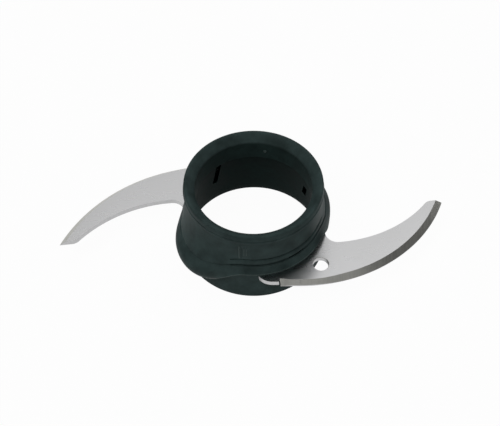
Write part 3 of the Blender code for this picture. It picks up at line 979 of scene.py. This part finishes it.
def blade_finish(face, sizes):
    """Index of the finish of a face of the right blade, by which way it looks and where it lies."""
    steepest_bevel = 0.3
    flattest_bevel = 0.97
    upright = 0.1
    upwards = face.normal.z
    if steepest_bevel < upwards < flattest_bevel:
        return GROUND
    if abs(upwards) > upright:
        return ROLLED
    # Upright sides take the sheared steel, whose darker colour is painted shade
    middle = face.calc_center_median()
    beside = abs(middle.x - GRIND_START) < NOTCH_WIDTH / 2 + HAIR
    outside = middle.y < NOTCH_DEPTH + 2 * HAIR - sizes.edge_reach
    # Faces in the notch are painted near black as shade
    return NOTCH_SHADE if beside and outside else SHEARED_SHADED


def ring_finish(face, mesh, sizes):
    """Index of the finish of a face of the ring, by which way it looks and where it lies."""
    radius = face.center.xy.length
    height = face.center.z
    azimuth = direction(face.center)
    outwards = (face.normal.x * face.center.x + face.normal.y * face.center.y) / radius
    below_band = height < sizes.height - BAND_DROP
    # The nubs' faces get the painted highlight
    if radius < sizes.band_radius - HAIR:
        return PAINTED_HIGHLIGHT
    in_wall = radius - bore_radius(sizes, height)
    turn = math.degrees(azimuth) % 180.0
    by_slot = any(abs(turn - slot[0]) < SLOT_SPAN for slot in SLOTS)
    # Faces in the slots get painted deep shade
    if by_slot and below_band and 2 * HAIR < in_wall < SLOT_REACH and outwards < LOOKS_OUT:
        return PAINTED_DEEP_SHADE
    # Inward faces get painted shade: the inner band's lighter shade, and the bore's darker shade below it
    if outwards < LOOKS_IN and height < sizes.height - LIP_DROP:
        return PAINTED_SHADE if below_band else PAINTED_BAND_SHADE
    plain, upper, lower = (
        min(mesh.attributes[name].data[corner].value for corner in face.vertices)
        for name in ("plain_radius", "upper_groove", "lower_groove"))
    swell = swell_at(azimuth)
    # The lower groove's floor where a lobe starts gets painted deep shade
    if lower > GROOVE_FLOOR and GROOVE_SHADE_START < swell < GROOVE_SHADE_END:
        return PAINTED_DEEP_SHADE
    # Other groove floors get painted shade
    if max(upper, lower) > GROOVE_FLOOR and swell < UPPER_GROOVE_END:
        return PAINTED_SHADE
    # The skirt's outermost band gets the painted highlight
    if plain > sizes.skirt_radius - SKIRT_HIGHLIGHT_BAND:
        return PAINTED_HIGHLIGHT
    # The proud seam and ribs get the painted highlight
    proud = relief_at(azimuth, height) > PAINTED_HIGHLIGHT_RELIEF
    return PAINTED_HIGHLIGHT if proud and radius > sizes.rim_radius - WALL_INSET else SATIN


class KNIFE_OT_carrier_ring(Operator):
    """Makes the moulded carrier ring"""
    bl_idname = "knife.carrier_ring"
    bl_label = "Carrier Ring"

    def execute(self, context):
        sizes = context.scene.knife_ring
        ring = new_piece("carrier_ring_moulding", ring_form(sizes))
        cut_slots(ring, sizes)
        add_nubs(ring, sizes)
        ring.data.shade_smooth()
        ring.data.set_sharp_from_angle(angle=math.radians(40))
        ring.data.materials.clear()
        for plastic in ring_plastics(context.scene.knife_finishes):
            ring.data.materials.append(plastic)
        for face in ring.data.polygons:
            face.material_index = ring_finish(face, ring.data, sizes)
        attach(ring, "root")
        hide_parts("carrier_ring")
        return {"FINISHED"}


class KNIFE_OT_blades(Operator):
    """Makes the two ground blades, one the other turned by half a turn"""
    bl_idname = "knife.blades"
    bl_label = "Blades"

    def execute(self, context):
        sizes = context.scene.knife_blade
        ring_sizes = context.scene.knife_ring
        right = new_piece("blade_right_ground", blade_form(sizes, ring_sizes))
        joined(right, new_piece("grind", grind_form(sizes)), "DIFFERENCE")
        joined(right, new_piece("punch", hole_form(sizes, ring_sizes)), "DIFFERENCE")
        right.data.materials.clear()
        for steel in blade_steels(context.scene.knife_finishes):
            right.data.materials.append(steel)
        form = bmesh.new()
        form.from_mesh(right.data)
        form.normal_update()
        for face in form.faces:
            face.material_index = blade_finish(face, sizes)
        form.to_mesh(right.data)
        form.free()
        right.data.shade_smooth()
        right.data.set_sharp_from_angle(angle=math.radians(25))
        turned = right.data.copy()
        turned.transform(Matrix.Rotation(HALF_TURN, 4, "Z"))
        left = bpy.data.objects.new("blade_left_ground", turned)
        context.scene.collection.objects.link(left)
        for piece, node in ((right, "blade_right"), (left, "blade_left")):
            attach(piece, "root")
            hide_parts(node)
        return {"FINISHED"}


def seen_white(tree, shader_output, share):
    """Mixes plain white into what the camera and clear reflections see of a surface."""
    path = add_node(tree, "ShaderNodeLightPath")
    seen = path.outputs["Is Camera Ray"]
    for other in ("Is Glossy Ray", "Is Transmission Ray"):
        total = add_node(tree, "ShaderNodeMath", operation="MAXIMUM")
        tree.links.new(seen, total.inputs[0])
        tree.links.new(path.outputs[other], total.inputs[1])
        seen = total.outputs["Value"]
    part = add_node(tree, "ShaderNodeMath", operation="MULTIPLY")
    part.inputs[1].default_value = share
    tree.links.new(seen, part.inputs[0])
    white = add_node(tree, "ShaderNodeEmission")
    mixed = add_node(tree, "ShaderNodeMixShader")
    tree.links.new(part.outputs["Value"], mixed.inputs["Fac"])
    tree.links.new(shader_output, mixed.inputs[1])
    tree.links.new(white.outputs["Emission"], mixed.inputs[2])
    return mixed.outputs["Shader"]


def lay_floor(finishes):
    """A plain pale floor, far wider than the view."""
    form = bmesh.new()
    bmesh.ops.create_grid(form, x_segments=1, y_segments=1, size=6.0)
    floor = new_piece("floor", form)
    material, tree, shader = start_material("floor_paper")
    shader.inputs["Base Color"].default_value = (*finishes.floor_colour, 1.0)
    shader.inputs["Roughness"].default_value = 0.9
    shader.inputs["Specular IOR Level"].default_value = 0.1
    output = tree.nodes["Material Output"]
    tree.links.new(seen_white(tree, shader.outputs["BSDF"], FLOOR_WHITE), output.inputs["Surface"])
    floor.data.materials.append(material)


def hang_lamp(name, place, size, power):
    """A rectangular lamp that faces the middle of the knife."""
    light = bpy.data.lights.new(name, "AREA")
    light.shape = "RECTANGLE"
    light.size, light.size_y = size
    light.energy = power
    lamp = bpy.data.objects.new(name, light)
    lamp.location = place
    ahead = UP * BLADE_TOP - Vector(place)
    lamp.rotation_euler = ahead.to_track_quat("-Z", "Y").to_euler()
    bpy.context.scene.collection.objects.link(lamp)


def plain_world(level):
    """Even white surroundings."""
    world = bpy.data.worlds.new("surroundings")
    world.use_nodes = True
    background = world.node_tree.nodes["Background"]
    background.inputs["Color"].default_value = (1.0, 1.0, 1.0, 1.0)
    background.inputs["Strength"].default_value = level
    bpy.context.scene.world = world


def set_camera(settings):
    """Camera in front of the knife and above it, looking at the axis at the height of the blades' top."""
    data = bpy.data.cameras.new("camera")
    data.sensor_width = SENSOR_WIDTH
    data.lens = settings.focal_pixels / IMAGE_WIDTH * SENSOR_WIDTH
    data.shift_x = (IMAGE_WIDTH / 2 - AXIS_COLUMN) / IMAGE_WIDTH
    data.shift_y = (AXIS_ROW - IMAGE_HEIGHT / 2) / IMAGE_WIDTH
    data.clip_start = 0.01
    camera = bpy.data.objects.new("camera", data)
    away = Vector((0.0, -math.cos(settings.elevation), math.sin(settings.elevation)))
    camera.matrix_world = (
        Matrix.Translation(away * settings.distance + UP * BLADE_TOP)
        @ Matrix.Rotation(QUARTER_TURN - settings.elevation, 4, "X")
        @ Matrix.Rotation(CAMERA_ROLL, 4, "Z")
    )
    bpy.context.scene.collection.objects.link(camera)
    bpy.context.scene.camera = camera


class KNIFE_OT_stage(Operator):
    """Lays the floor, hangs the lamps and sets the camera"""
    bl_idname = "knife.stage"
    bl_label = "Stage"

    def execute(self, context):
        settings = context.scene.knife_stage
        lay_floor(context.scene.knife_finishes)
        plain_world(settings.world_level)
        for name, (place, size) in LAMPS.items():
            hang_lamp(name, place, size, getattr(settings, name))
        context.scene.view_settings.view_transform = "Standard"
        set_camera(settings)
        return {"FINISHED"}


class KNIFE_PT_panel(Panel):
    bl_label = "Food Processor Knife"
    bl_idname = "KNIFE_PT_panel"
    bl_space_type = "VIEW_3D"
    bl_region_type = "UI"
    bl_category = "Knife"

    def draw(self, context):
        layout = self.layout
        scene = context.scene
        for title, settings in (
            ("Ring", scene.knife_ring),
            ("Blades", scene.knife_blade),
            ("Finishes", scene.knife_finishes),
            ("Stage", scene.knife_stage),
        ):
            box = layout.box()
            box.label(text=title)
            for name in settings.__annotations__:
                box.prop(settings, name)
        for operator in (KNIFE_OT_carrier_ring, KNIFE_OT_blades, KNIFE_OT_stage):
            layout.operator(operator.bl_idname)


CLASSES = (
    RingSizes,
    BladeSizes,
    Finishes,
    StageSettings,
    KNIFE_OT_carrier_ring,
    KNIFE_OT_blades,
    KNIFE_OT_stage,
    KNIFE_PT_panel,
)
SETTINGS = {
    "knife_ring": RingSizes,
    "knife_blade": BladeSizes,
    "knife_finishes": Finishes,
    "knife_stage": StageSettings,
}


def register():
    for made in CLASSES:
        bpy.utils.register_class(made)
    for name, group in SETTINGS.items():
        setattr(bpy.types.Scene, name, PointerProperty(type=group))


def unregister():
    for name in SETTINGS:
        delattr(bpy.types.Scene, name)
    for made in reversed(CLASSES):
        bpy.utils.unregister_class(made)


def main():
    register()
    bpy.ops.knife.carrier_ring()
    bpy.ops.knife.blades()
    bpy.ops.knife.stage()


if __name__ == "__main__":
    main()
